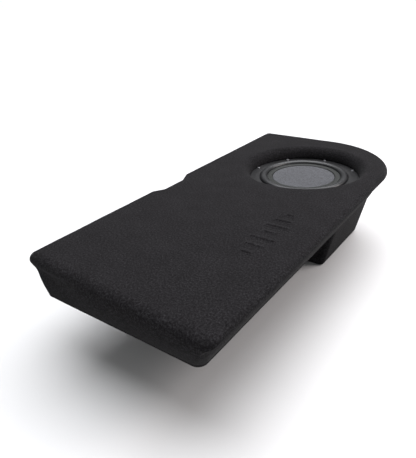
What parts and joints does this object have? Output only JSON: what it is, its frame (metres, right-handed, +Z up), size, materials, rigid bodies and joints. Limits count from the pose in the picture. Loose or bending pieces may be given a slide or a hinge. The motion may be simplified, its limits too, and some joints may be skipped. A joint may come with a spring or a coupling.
{
  "type": "powered car subwoofer",
  "caption": "Long flat carpeted bass enclosure with a deeper pod at one end, a shallow up-firing driver in a round bowl and a plate amplifier on the pod's end wall.",
  "frame": {"origin": "on the pod's underside, below the middle of the lid", "axes": "+Y along the enclosure towards the driver's end, +X to its right, +Z up out of the lid"},
  "size_m": [0.42, 0.881, 0.202],
  "materials": {
    "carpet": "black non-woven trim carpet, matt and fibrous",
    "shell": "moulded shell, matt",
    "board": "fibre board, sanded",
    "wadding": "loose polyester fill",
    "frame": "cast frame, satin black paint",
    "rubber": "smooth black rubber, satin",
    "cone": "matt black composite",
    "disc": "grey woven composite, fine weave",
    "former": "amber film, smooth",
    "copper": "varnished winding wire",
    "spider": "resin-stiffened cloth",
    "zinc": "zinc plated steel",
    "black_screw": "black zinc, satin",
    "ferrite": "sintered ferrite, matt",
    "plastic": "moulded black plastic, fine grain",
    "aluminium": "black anodised, fine brushed",
    "circuit_board": "green solder mask",
    "capacitor": "shrink sleeve",
    "gold": "gold flash over brass",
    "fuse": "translucent amber",
    "led": "clear blue dome",
    "lead_red": "smooth insulation",
    "lead_black": "smooth insulation"
  },
  "bodies": {
    "enclosure": {"carpet_top": "carpet", "carpet_slab": "carpet", "carpet_pod": "carpet", "top_panel": "board", "slab_shell": "shell", "pod_shell": "shell", "driver_mount_ring": "board", "brace_near": "board", "brace_far": "board", "acoustic_wadding": "wadding", "driver_basket": "frame", "gasket_ring": "rubber", "surround": "rubber", "spider": "spider", "top_plate": "zinc", "magnet": "ferrite", "yoke": "zinc", "driver_terminal": "plastic", "driver_screw_1": "black_screw", "driver_screw_2": "black_screw", "driver_screw_3": "black_screw", "driver_screw_4": "black_screw", "driver_screw_5": "black_screw", "driver_screw_6": "black_screw", "driver_screw_7": "black_screw", "driver_screw_8": "black_screw", "speaker_lead_red": "lead_red", "speaker_lead_black": "lead_black", "amp_plate": "aluminium", "heat_sink": "aluminium", "circuit_board": "circuit_board", "toroid_coil": "copper", "capacitor_left": "capacitor", "capacitor_right": "capacitor", "gain_potentiometer": "plastic", "crossover_potentiometer": "plastic", "bass_boost_potentiometer": "plastic", "switch_body": "plastic", "speaker_input_socket": "plastic", "power_terminal": "plastic", "fuse_holder": "plastic", "blade_fuse": "fuse", "status_led": "led", "rca_jack_left": "gold", "rca_jack_right": "gold", "plate_screw_1": "black_screw", "plate_screw_2": "black_screw", "plate_screw_3": "black_screw", "plate_screw_4": "black_screw"},
    "cone_assembly": {"cone": "cone", "centre_disc": "disc", "coil_former": "former", "voice_coil": "copper"},
    "gain_control": {"gain_knob": "plastic"},
    "crossover_control": {"crossover_knob": "plastic"},
    "bass_boost_control": {"bass_boost_knob": "plastic"},
    "phase_control": {"phase_switch": "zinc"}
  },
  "joints": [
    {"name": "cone_travel", "type": "slide", "parent": "enclosure", "child": "cone_assembly", "axis": [0, 0, 1], "range_m": [-0.008, 0.008], "stiffness_N_per_m": 6000, "deforming": ["surround", "spider"]},
    {"name": "gain_turn", "type": "hinge", "parent": "enclosure", "child": "gain_control", "pos_m": [-0.02, 0.327, 0.088], "axis": [0, 1, 0], "range_deg": [-140, 140]},
    {"name": "crossover_turn", "type": "hinge", "parent": "enclosure", "child": "crossover_control", "pos_m": [-0.048, 0.327, 0.088], "axis": [0, 1, 0], "range_deg": [-140, 140]},
    {"name": "bass_boost_turn", "type": "hinge", "parent": "enclosure", "child": "bass_boost_control", "pos_m": [-0.076, 0.327, 0.088], "axis": [0, 1, 0], "range_deg": [-140, 140]},
    {"name": "phase_slide", "type": "slide", "parent": "enclosure", "child": "phase_control", "axis": [1, 0, 0], "range_m": [0, 0.004]}
  ]
}
